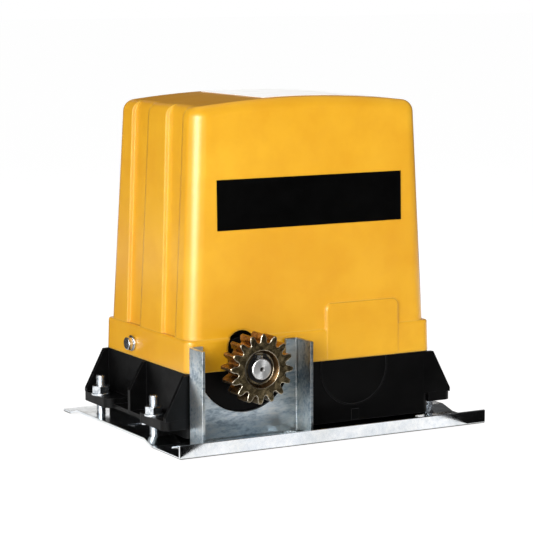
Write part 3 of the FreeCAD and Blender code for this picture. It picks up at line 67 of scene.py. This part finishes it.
# ------------------------------------------------------------------ material nodes
class Paint:
    """A Principled material with small helpers for procedural detail, in object coordinates (metres)."""

    def __init__(self, name, **sockets):
        self.mat = bpy.data.materials.new(name)
        self.mat.use_nodes = True
        self.tree = self.mat.node_tree
        self.tree.nodes.clear()
        self.bsdf = self.add("ShaderNodeBsdfPrincipled")
        out = self.add("ShaderNodeOutputMaterial")
        self.link(self.bsdf.outputs[0], out.inputs["Surface"])
        self.coord = self.add("ShaderNodeTexCoord").outputs["Object"]
        for key, value in sockets.items():
            self.set(key, value)

    def add(self, kind, **props):
        n = self.tree.nodes.new(kind)
        for key, value in props.items():
            setattr(n, key, value)
        return n

    def link(self, a, b):
        self.tree.links.new(a, b)

    def set(self, key, value):
        """Sets or links one of the shader's inputs."""
        self.feed(self.bsdf.inputs[key.replace("_", " ")], value)

    def feed(self, socket, value):
        """Links a node's output, or sets a number or a colour."""
        if hasattr(value, "is_linked"):
            self.link(value, socket)
        elif isinstance(value, tuple) and len(value) == 3 and socket.type == "RGBA":
            socket.default_value = value + (1.0,)
        else:
            socket.default_value = value

    def place(self, scale=(1, 1, 1), at=(0, 0, 0)):
        """The point, stretched and shifted."""
        m = self.add("ShaderNodeMapping")
        self.link(self.coord, m.inputs["Vector"])
        m.inputs["Scale"].default_value = scale
        m.inputs["Location"].default_value = at
        return m.outputs[0]

    def noise(self, scale, detail=2.0, rough=0.5, stretch=(1, 1, 1), at=(0, 0, 0), distort=0.0):
        n = self.add("ShaderNodeTexNoise")
        self.link(self.place(stretch, at=at), n.inputs["Vector"])
        n.inputs["Scale"].default_value = scale
        n.inputs["Detail"].default_value = detail
        n.inputs["Roughness"].default_value = rough
        n.inputs["Distortion"].default_value = distort
        return n.outputs["Fac"]

    def ramp(self, fac, *stops):
        """Colour or value stops: (position, colour or number)."""
        n = self.add("ShaderNodeValToRGB")
        self.feed(n.inputs[0], fac)
        e = n.color_ramp.elements
        while len(e) < len(stops):
            e.new(0.5)
        for k, (pos, value) in enumerate(stops):
            e[k].position = pos
            c = value if isinstance(value, tuple) else (value, value, value)
            e[k].color = c + (1.0,)
        return n.outputs[0]

    def mix(self, fac, a, b, blend="MIX"):
        """Colour b over colour a."""
        n = self.add("ShaderNodeMix", data_type="RGBA", blend_type=blend)
        self.feed(n.inputs[0], fac)
        self.feed(n.inputs[6], a)
        self.feed(n.inputs[7], b)
        return n.outputs[2]

    def calc(self, op, a, b=0.0):
        """One step of arithmetic."""
        n = self.add("ShaderNodeMath", operation=op)
        self.feed(n.inputs[0], a)
        self.feed(n.inputs[1], b)
        return n.outputs[0]

    def span(self, value, lo, hi, to_lo=0.0, to_hi=1.0):
        """Takes the range lo to hi to another one, clamped."""
        n = self.add("ShaderNodeMapRange")
        for key, v in zip((0, 1, 2, 3, 4), (value, lo, hi, to_lo, to_hi)):
            self.feed(n.inputs[key], v)
        return n.outputs[0]

    def axis(self, which):
        """X, Y or Z of the point, in metres."""
        n = self.add("ShaderNodeSeparateXYZ")
        self.link(self.coord, n.inputs[0])
        return n.outputs[which]

    def facing(self, which):
        """X, Y or Z of the surface's own direction."""
        n = self.add("ShaderNodeSeparateXYZ")
        self.link(self.add("ShaderNodeTexCoord").outputs["Normal"], n.inputs[0])
        return n.outputs[which]

    def edges(self, radius, lo=0.02, hi=0.25):
        """1 on edges and corners, 0 on flat parts."""
        bevel = self.add("ShaderNodeBevel", samples=6)
        bevel.inputs["Radius"].default_value = radius
        dot = self.add("ShaderNodeVectorMath", operation="DOT_PRODUCT")
        self.link(bevel.outputs[0], dot.inputs[0])
        self.link(self.add("ShaderNodeNewGeometry").outputs["Normal"], dot.inputs[1])
        return self.span(dot.outputs["Value"], 1.0 - lo, 1.0 - hi)

    def rounded(self, radius):
        """Surface direction with every edge rounded by the radius."""
        n = self.add("ShaderNodeBevel", samples=8)
        n.inputs["Radius"].default_value = radius
        return n.outputs[0]

    def crease_shade(self, reach):
        """Mask for painted shade: 1 in inner corners, 0 in the open."""
        n = self.add("ShaderNodeAmbientOcclusion", samples=6)
        n.inputs["Distance"].default_value = reach
        return self.span(n.outputs["AO"], 0.55, 0.80, 1.0, 0.0)

    def bump(self, height, strength, depth, after=None):
        """Relief on top of the surface direction given as after."""
        n = self.add("ShaderNodeBump")
        n.inputs["Strength"].default_value = strength
        n.inputs["Distance"].default_value = depth
        self.feed(n.inputs["Height"], height)
        if after is not None:
            self.link(after, n.inputs["Normal"])
        self.link(n.outputs[0], self.bsdf.inputs["Normal"])
        return n.outputs[0]


def cover_yellow():
    """Glossy moulded plastic: cloudiness, sink marks, painted highlights on soft edges, painted shade where seen
    at a slant, and fine scuffs.
    """
    p = Paint("cover_yellow", IOR=1.46, Specular_IOR_Level=0.22, Coat_Weight=0.9, Coat_Roughness=0.20)
    cloud = p.noise(7, 3, 0.55)
    blotch = p.noise(24, 4, 0.6, at=(2, 5, 1))
    fine = p.noise(55, 4, 0.6, stretch=(1, 1, 0.25))
    base = p.mix(p.span(cloud, 0.36, 0.64), (0.81, 0.385, 0.009), (0.91, 0.475, 0.020))
    base = p.mix(p.span(blotch, 0.42, 0.66, 0.0, 0.45), base, (0.78, 0.345, 0.007))
    base = p.mix(p.span(fine, 0.35, 0.75, 0.0, 0.10), base, (0.90, 0.50, 0.025))
    # painted highlight: pale colour along the edges
    edge_highlight = p.calc("MULTIPLY", p.edges(0.0034, 0.01, 0.22), 0.55)
    base = p.mix(edge_highlight, base, (0.98, 0.66, 0.12))
    slant = p.add("ShaderNodeLayerWeight")
    slant.inputs["Blend"].default_value = 0.5
    painted_slant_shade = p.span(slant.outputs["Facing"], 0.62, 0.97, 0.0, 0.85)       # painted shade where the surface is seen at a slant
    base = p.mix(painted_slant_shade, base, (0.55, 0.20, 0.003))
    p.set("Base_Color", base)
    p.set("Roughness", p.span(p.noise(26, 3, 0.6), 0.3, 0.7, 0.28, 0.38))
    waves = p.noise(16, 2, 0.5, stretch=(0.6, 0.6, 1.3))
    soft = p.bump(waves, 0.40, 0.0012, after=p.rounded(0.0045))
    p.bump(p.noise(900, 3, 0.6), 0.06, 0.0002, after=soft)
    return p.mat


def black_moulding(name="black_moulding", shade=0.0012, rough=0.42, gloss=0.13):
    """Matt black plastic, a little dusty, with painted highlights on its edges."""
    p = Paint(name, IOR=1.46, Specular_IOR_Level=gloss)
    cloud = p.noise(30, 3, 0.6)
    # painted highlight: paler colour along the edges
    edge_highlight = p.edges(0.0008, 0.01, 0.30)
    plain_black = (shade, shade, shade * 1.1)
    dusty_black = (shade * 2, shade * 1.9, shade * 2)
    base = p.mix(p.span(cloud, 0.3, 0.75), plain_black, dusty_black)
    base = p.mix(p.calc("MULTIPLY", edge_highlight, 0.30), base, (0.11, 0.11, 0.115))
    p.set("Base_Color", base)
    p.set("Roughness", p.span(p.noise(70, 3, 0.6), 0.3, 0.7, rough - 0.06, rough + 0.08))
    p.bump(p.noise(1400, 2, 0.6), 0.12, 0.0002)
    return p.mat


def zinc(name, dark, mid, light, scale, rough, contrast, edge=0.5, streak=(1, 1, 1), foot=None, shade_span=None):
    """Zinc-plated sheet: soft clouds, drawn streaks, a slight wave, painted highlights on the edges, painted
    shade in creases and across an x span, and a darker lower edge.
    """
    p = Paint(name, Metallic=1.0)
    patch = p.noise(scale, 4, 0.55, stretch=streak, distort=0.4)
    grain = p.noise(scale * 7, 4, 0.65, stretch=streak)
    tone = p.calc("ADD", p.calc("MULTIPLY", patch, 0.55), p.calc("MULTIPLY", grain, 0.45))
    lowest, highest = contrast
    base = p.ramp(tone, (lowest, dark), ((lowest + highest) / 2, mid), (highest, light))
    tint = p.noise(scale * 0.6, 2, 0.5, stretch=streak, at=(5, 2, 7))
    base = p.mix(p.span(tint, 0.42, 0.62, 0.0, 0.35), base, (0.62, 0.60, 0.50), "MULTIPLY")
    # painted highlight: pale colour along the edges
    edge_highlight = p.calc("MULTIPLY", p.edges(0.0007, 0.01, 0.25), edge)
    base = p.mix(edge_highlight, base, (0.95, 0.97, 1.0))
    # painted shade: dark colour in inner corners and creases
    base = p.mix(p.calc("MULTIPLY", p.crease_shade(0.0035), 0.8), base, (0.06, 0.06, 0.055))
    if shade_span:                                 # painted shade: the sheet darkens from one x to the other
        base = p.mix(p.span(p.axis(X), *shade_span), base, (0.50, 0.48, 0.46), "MULTIPLY")
    if foot:                                  # darker along the lowest edge, the one that stands on the ground
        lower_edge_dark = p.span(p.axis(Z), foot * 0.75, foot * 1.25, 0.85, 0.0)
        base = p.mix(lower_edge_dark, base, (0.05, 0.045, 0.035))
    p.set("Base_Color", base)
    p.set("Roughness", p.span(tone, 0.3, 0.7, rough + 0.08, rough - 0.05))
    wave = p.bump(p.noise(scale * 1.5, 2, 0.5, stretch=streak), 0.22, 0.0009, after=p.rounded(0.0007))
    p.bump(p.noise(scale * 8, 3, 0.6, stretch=streak), 0.10, 0.0003, after=wave)
    return p.mat


def bright_zinc():
    """Plated screws, nuts, washers and studs."""
    p = Paint("bright_zinc", Metallic=1.0)
    tone = p.noise(220, 4, 0.6)
    base = p.ramp(tone, (0.30, (0.38, 0.42, 0.46)), (0.50, (0.68, 0.72, 0.76)), (0.70, (0.94, 0.96, 0.98)))
    p.set("Base_Color", base)
    p.set("Roughness", p.span(tone, 0.3, 0.7, 0.28, 0.16))
    p.bump(p.noise(900, 3, 0.6), 0.15, 0.0002, after=p.rounded(0.0006))
    return p.mat


def passivated_gear():
    """Yellow-chromate steel: dull brown faces, warmer flanks and painted highlights on the edges."""
    p = Paint("passivated_gear", Metallic=1.0)
    patch = p.noise(150, 5, 0.7, distort=0.5)
    stain = p.noise(45, 3, 0.55, at=(3, 1, 2))
    face = p.ramp(patch, (0.34, (0.045, 0.032, 0.018)), (0.50, (0.15, 0.115, 0.060)),
                  (0.66, (0.62, 0.48, 0.26)))
    flank = p.ramp(stain, (0.35, (0.12, 0.062, 0.024)), (0.60, (0.34, 0.20, 0.085)))
    on_face = p.span(p.calc("ABSOLUTE", p.facing(Y)), 0.5, 0.9)
    base = p.mix(on_face, flank, face)
    # painted highlight: pale gold along the edges
    edge_highlight = p.edges(0.0012, 0.01, 0.16)
    base = p.mix(edge_highlight, base, (1.0, 0.93, 0.76))
    p.set("Base_Color", base)
    p.set("Roughness", p.span(patch, 0.3, 0.7, 0.38, 0.22))
    p.bump(p.noise(500, 4, 0.6), 0.25, 0.0003, after=p.rounded(0.0015))
    return p.mat


def ground_steel():
    """Bare shafts and bearings."""
    p = Paint("ground_steel", Metallic=1.0)
    tone = p.noise(300, 3, 0.6)
    p.set("Base_Color", p.ramp(tone, (0.3, (0.50, 0.51, 0.51)), (0.7, (0.82, 0.83, 0.82))))
    p.set("Roughness", p.span(tone, 0.3, 0.7, 0.30, 0.20))
    return p.mat


WIDE_RINGS, FINE_RINGS = 5200.0, 14300.0      # turning marks, in radians per metre of radius
LATHE_CENTRE = 0.0016                         # radius of the centre hole, painted as a dark disc


def turned_steel(box):
    """Turned shaft: fine rings round its axis, which draw the highlights out along the radius."""
    p = Paint("turned_steel", Metallic=1.0, Anisotropic=0.75)
    cx, cz = (box[0][X] + box[1][X]) / 2, (box[0][Z] + box[1][Z]) / 2
    dx, dz = p.calc("SUBTRACT", p.axis(X), cx), p.calc("SUBTRACT", p.axis(Z), cz)
    far = p.calc("SQRT", p.calc("ADD", p.calc("MULTIPLY", dx, dx), p.calc("MULTIPLY", dz, dz)))
    wide = p.calc("SINE", p.calc("MULTIPLY", far, WIDE_RINGS))
    fine = p.calc("SINE", p.calc("MULTIPLY", far, FINE_RINGS))
    rings = p.span(p.calc("ADD", wide, p.calc("MULTIPLY", fine, 0.6)), -1.6, 1.6)
    base = p.mix(rings, (0.66, 0.67, 0.67), (1.0, 1.0, 0.99))
    # painted shade: a dark disc where the centre hole is
    centre_hole_shade = p.span(far, LATHE_CENTRE - 0.0002, LATHE_CENTRE + 0.0002, 1.0, 0.0)
    base = p.mix(centre_hole_shade, base, (0.015, 0.015, 0.015))
    round_shade = p.span(p.calc("ABSOLUTE", p.facing(Y)), 0.4, 0.8, 1.0, 0.0)
    base = p.mix(round_shade, base, (0.09, 0.08, 0.07))                      # painted shade on the shaft's round side
    p.set("Base_Color", base)
    p.set("Roughness", p.span(rings, 0.0, 1.0, 0.46, 0.34))
    around = p.add("ShaderNodeTangent", direction_type="RADIAL", axis="Y")
    p.link(around.outputs[0], p.bsdf.inputs["Tangent"])
    p.bump(rings, 0.35, 0.00012, after=p.rounded(0.0008))
    return p.mat


def plain(name, color, rough, metallic=0.0, grain=300):
    """Simple finish with colour and roughness variation for what sits under the cover."""
    p = Paint(name, Metallic=metallic)
    tone = p.noise(grain, 4, 0.6)
    darker = tuple(c * 0.75 for c in color)
    paler = tuple(min(1.0, c * 1.25) for c in color)
    p.set("Base_Color", p.mix(p.span(tone, 0.3, 0.7), darker, paler))
    p.set("Roughness", p.span(tone, 0.3, 0.7, rough + 0.06, rough - 0.06))
    p.bump(p.noise(grain * 4, 3, 0.6), 0.1, 0.0002)
    return p.mat


def label_film(name, color, rough, gloss):
    """Plain printed film."""
    p = Paint(name, Specular_IOR_Level=gloss)
    tone = p.noise(40, 3, 0.6)
    paler = tuple(min(1.0, c * 1.15 + 0.001) for c in color)
    p.set("Base_Color", p.mix(p.span(tone, 0.3, 0.7), color, paler))
    p.set("Roughness", p.span(p.noise(120, 3, 0.6), 0.3, 0.7, rough - 0.04, rough + 0.06))
    return p.mat


GUARD_SHADE_SPAN = (-0.062, -0.030)                # x where painted shade on the guard starts, and where it is full
PLATE_FOOT = 0.0011                           # height of the dark band on the plate's lower edge

MATERIALS = {
    "yellow_cover": cover_yellow(),
    "black_base": black_moulding(),
    "black_parts": black_moulding("black_parts", 0.010, 0.5, 0.4),
    "zinc_sheet": zinc("zinc_guard", (0.36, 0.46, 0.55), (0.72, 0.82, 0.89), (0.93, 0.98, 1.0), 42, 0.32,
                       contrast=(0.40, 0.59), edge=1.0, streak=(0.35, 1, 1), shade_span=GUARD_SHADE_SPAN),
    "zinc_hardware": bright_zinc(),
    "gear_passivated": passivated_gear(),
    "ground_steel": ground_steel(),
    "label_black": label_film("label_black", (0.0008, 0.0008, 0.0008), 0.34, 0.04),
    "label_white": label_film("label_white", (0.92, 0.92, 0.91), 0.6, 0.10),
    "bronze": plain("bronze", (0.50, 0.28, 0.08), 0.35, 1.0),
    "cast_alloy": plain("cast_alloy", (0.55, 0.56, 0.57), 0.45, 1.0, 500),
    "motor_paint": plain("motor_paint", (0.03, 0.03, 0.033), 0.35),
    "ferrite": plain("ferrite", (0.04, 0.04, 0.042), 0.6),
    "copper": plain("copper", (0.62, 0.24, 0.10), 0.35, 1.0, 900),
    "seal_rubber": plain("seal_rubber", (0.012, 0.012, 0.012), 0.6),
    "battery_case": plain("battery_case", (0.035, 0.036, 0.04), 0.45),
    "board_green": plain("board_green", (0.01, 0.12, 0.04), 0.35),
    "grey_parts": plain("grey_parts", (0.16, 0.17, 0.18), 0.5),
    "lamination": plain("lamination", (0.22, 0.21, 0.20), 0.5, 1.0, 900),
}
plate_zinc = zinc("zinc_plate", (0.66, 0.72, 0.78), (0.80, 0.84, 0.89), (0.93, 0.95, 0.97), 20, 0.13,
                  contrast=(0.30, 0.62), foot=PLATE_FOOT)

own = {"foundation_plate": plate_zinc, "output_shaft": turned_steel(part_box("output_shaft")),
       "retaining_ring": black_moulding("burnished_ring", 0.003, 0.4, 0.25)}

slots = {s["node"]: s["material_slot"] for s in frame["record"]["subparts"]}
for name, obj in nodes.items():
    mat = own.get(name) or MATERIALS[slots[name]]
    obj.data.materials.clear()
    obj.data.materials.append(mat)


# ------------------------------------------------------------------ threaded studs
THREAD_PITCH, THREAD_DEPTH = 0.0015, 0.0009
STUD_RADIUS, STUD_CHAMFER = 0.005, 0.0010
AROUND, PER_PITCH = 28, 6                     # mesh points round the stud, and rows to a turn


def thread_mesh(places, z0, z1):
    """Closed rods with a rolled thread as real geometry, and a chamfered top."""
    verts, faces = [], []
    rows = int((z1 - z0) / THREAD_PITCH * PER_PITCH) + 1
    for cx, cy in places:
        start = len(verts)
        for i in range(rows):
            z = z0 + (z1 - z0) * i / (rows - 1)
            for k in range(AROUND):
                a = 2 * math.pi * k / AROUND
                wave = 0.5 - 0.5 * math.cos(2 * math.pi * (z - z0) / THREAD_PITCH - a)
                radius = min(STUD_RADIUS - THREAD_DEPTH * wave, STUD_RADIUS - STUD_CHAMFER + (z1 - z))
                verts.append((cx + radius * math.cos(a), cy + radius * math.sin(a), z))
        for i in range(rows - 1):
            for k in range(AROUND):
                n = (k + 1) % AROUND
                low, up = start + i * AROUND, start + (i + 1) * AROUND
                faces.append((low + k, low + n, up + n, up + k))
        faces.append(tuple(start + k for k in reversed(range(AROUND))))
        faces.append(tuple(start + (rows - 1) * AROUND + k for k in range(AROUND)))
    mesh = bpy.data.meshes.new("threaded_studs")
    mesh.from_pydata(verts, [], faces)
    for face in mesh.polygons:
        face.use_smooth = len(face.vertices) == 4
    return mesh


(sx0, sy0, sz0), (sx1, sy1, sz1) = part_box("mounting_studs")
stud_places = [(x, y) for x in (sx0 + STUD_RADIUS, sx1 - STUD_RADIUS)
               for y in (sy0 + STUD_RADIUS, sy1 - STUD_RADIUS)]
studs = bpy.data.objects.new("threaded_studs", thread_mesh(stud_places, sz0, sz1))
studs.data.materials.append(MATERIALS["zinc_hardware"])
bpy.context.scene.collection.objects.link(studs)
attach(studs, "base")
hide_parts("mounting_studs")


# ------------------------------------------------------------------ studio
def plane(name, size, at, normal, mat, camera=True):
    """Flat sheet of the studio, facing along normal."""
    mesh = bpy.data.meshes.new(name)
    w, h = size[0] / 2, size[1] / 2
    mesh.from_pydata([(-w, -h, 0), (w, -h, 0), (w, h, 0), (-w, h, 0)], [], [(0, 1, 2, 3)])
    obj = bpy.data.objects.new(name, mesh)
    obj.matrix_world = Matrix.Translation(at) @ Vector(normal).to_track_quat("Z", "Y").to_matrix().to_4x4()
    mesh.materials.append(mat)
    obj.visible_camera = camera
    bpy.context.scene.collection.objects.link(obj)
    return obj


def seen_rays(tree):
    """1 for rays from the camera, off gloss or through glass, which see the studio; 0 for its light."""
    path = tree.nodes.new("ShaderNodeLightPath")
    fac = path.outputs["Is Camera Ray"]
    for ray in ("Is Glossy Ray", "Is Transmission Ray"):
        either = tree.nodes.new("ShaderNodeMath")
        either.operation = "MAXIMUM"
        tree.links.new(fac, either.inputs[0])
        tree.links.new(path.outputs[ray], either.inputs[1])
        fac = either.outputs[0]
    return fac


FLOOR_GLOW, FLOOR_SHARE = 1.15, 0.80          # strength of the floor's own white, and its share
WORLD_LIGHT = 0.42                            # strength of the light from all round
WHITE = (1, 1, 1, 1)


def floor_paint():
    """White floor that keeps a faint shadow: its own white and some of the light that falls on it."""
    mat = bpy.data.materials.new("studio_floor")
    mat.use_nodes = True
    t = mat.node_tree
    t.nodes.clear()
    out = t.nodes.new("ShaderNodeOutputMaterial")
    mix = t.nodes.new("ShaderNodeMixShader")
    glow = t.nodes.new("ShaderNodeEmission")
    matt = t.nodes.new("ShaderNodeBsdfDiffuse")
    share = t.nodes.new("ShaderNodeMath")
    share.operation = "MULTIPLY"
    share.inputs[1].default_value = FLOOR_SHARE
    t.links.new(seen_rays(t), share.inputs[0])
    t.links.new(share.outputs[0], mix.inputs[0])
    glow.inputs["Color"].default_value = WHITE
    glow.inputs["Strength"].default_value = FLOOR_GLOW
    matt.inputs["Color"].default_value = (0.85, 0.85, 0.85, 1)
    t.links.new(matt.outputs[0], mix.inputs[1])
    t.links.new(glow.outputs[0], mix.inputs[2])
    t.links.new(mix.outputs[0], out.inputs["Surface"])
    return mat


def card_paint(shade, tint=(1, 1, 1)):
    """Evenly lit card, so that its shade is the one that gloss shows."""
    mat = bpy.data.materials.new("studio_card")
    mat.use_nodes = True
    t = mat.node_tree
    t.nodes.clear()
    glow = t.nodes.new("ShaderNodeEmission")
    glow.inputs["Color"].default_value = tint + (1,)
    glow.inputs["Strength"].default_value = shade
    out = t.nodes.new("ShaderNodeOutputMaterial")
    t.links.new(glow.outputs[0], out.inputs["Surface"])
    return mat


def card(name, size, at, aim, shade, tint=(1, 1, 1)):
    """Card that only shows in gloss: it takes no light from the object."""
    obj = plane(name, size, at, Vector(aim) - Vector(at), card_paint(shade, tint), camera=False)
    obj.visible_diffuse = False
    obj.visible_shadow = False
    obj.visible_transmission = False
    return obj


FLOOR_CARD_Z = 0.0012


def floor_card(name, corners, shade):
    """Dark sheet just over the floor, of any outline, that only shows in gloss."""
    mesh = bpy.data.meshes.new(name)
    mesh.from_pydata([(x, y, FLOOR_CARD_Z) for x, y in corners], [], [tuple(range(len(corners)))])
    obj = bpy.data.objects.new(name, mesh)
    mesh.materials.append(card_paint(shade))
    for ray in ("camera", "diffuse", "shadow", "transmission"):
        setattr(obj, "visible_" + ray, False)
    bpy.context.scene.collection.objects.link(obj)


plane("studio_floor", (40, 40), (0, 0, -0.0005), (0, 0, 1), floor_paint())

# shaded ground under the plate, which its slots show
UNDER_PLATE_INSET = 0.05
(left, front, _), (right, back, _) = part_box("foundation_plate")
plane("under_plate", (right - left - UNDER_PLATE_INSET, back - front - UNDER_PLATE_INSET),
      ((left + right) / 2, (front + back) / 2, 0.0002), (0, 0, 1), plain("dark_ground", (0.02, 0.02, 0.02), 0.9))

# dark cards keep the white room out of the gloss; the sheen cards draw the corner highlights
card("ceiling_card", (9, 9), (0.2, 0.2, 3.0), (0.2, 0.2, 0), 0.16)
card("right_card", (2.4, 2.4), (1.9, 0.15, 0.75), (0, 0, 0.15), 0.05)
card("front_card", (2.6, 2.4), (1.30, -1.50, 0.75), (0, 0, 0.15), 0.08)
card("back_card", (2.6, 2.4), (-1.1, 1.8, 0.75), (0, 0, 0.15), 0.03)
card("key_sheen", (1.3, 1.7), (-1.92, -1.46, 0.85), (0, 0, 0.2), 10)
card("wide_sheen", (3.4, 1.9), (-2.10, -1.60, 0.90), (0, 0, 0.2), 4.5)
card("high_card", (0.85, 0.9), (0.72, 1.5, 0.87), (0, 0, 0.35), 0.22, (1, 0.62, 0.18))
card("far_right_card", (1.6, 1.4), (1.85, 1.2, 0.72), (0.1, 0, 0.1), 0.02)
card("far_left_card", (1.6, 1.0), (-0.45, 1.7, 0.90), (0, 0, 0.3), 0.05)
floor_card("left_end_card", ((-0.30, -0.143), (-0.182, -0.143), (-0.120, -0.200), (-0.070, -0.232),
                             (-0.07, -0.30), (-0.30, -0.30)), 0.0)
floor_card("right_end_card", ((0.160, -0.143), (0.154, -0.30), (0.42, -0.75), (0.90, -0.75),
                              (0.60, -0.143)), 0.004)
card("far_floor_card", (1.7, 1.6), (0.80, 1.35, 0.002), (0.80, 1.35, 1), 0.06)
card("front_floor_card", (1.5, 1.2), (0.45, -0.86, 0.002), (0.45, -0.86, 1), 0.16)
card("back_floor_card", (1.5, 1.2), (-0.62, 0.92, 0.002), (-0.62, 0.92, 1), 0.04)

world = bpy.data.worlds.new("studio")
bpy.context.scene.world = world
world.use_nodes = True
wt = world.node_tree
wt.nodes.clear()
w_out = wt.nodes.new("ShaderNodeOutputWorld")
w_mix = wt.nodes.new("ShaderNodeMixShader")
wt.links.new(seen_rays(wt), w_mix.inputs[0])
for slot_index, strength in ((1, WORLD_LIGHT), (2, 1.0)):
    w_sky = wt.nodes.new("ShaderNodeBackground")
    w_sky.inputs["Color"].default_value = WHITE
    w_sky.inputs["Strength"].default_value = strength
    wt.links.new(w_sky.outputs[0], w_mix.inputs[slot_index])
wt.links.new(w_mix.outputs[0], w_out.inputs["Surface"])


def lamp(name, at, aim, size, power):
    """Soft lamp that shows in no gloss: the sheen cards do that."""
    data = bpy.data.lights.new(name, "AREA")
    data.shape = "RECTANGLE"
    data.size, data.size_y = size
    data.energy = power
    obj = bpy.data.objects.new(name, data)
    obj.location = at
    obj.rotation_mode = "QUATERNION"
    obj.rotation_quaternion = (Vector(at) - Vector(aim)).to_track_quat("Z", "Y")
    obj.visible_glossy = False
    bpy.context.scene.collection.objects.link(obj)


lamp("key_left", (-1.98, -1.50, 0.85), (0, 0, 0.2), (1.5, 1.4), 46)
lamp("fill_front", (1.25, -2.3, 1.1), (0, 0, 0.2), (0.8, 0.6), 15)
lamp("top_soft", (0.25, 0.95, 1.7), (0, 0, 0.3), (0.9, 0.9), 16)

bpy.context.scene.view_settings.view_transform = "Standard"
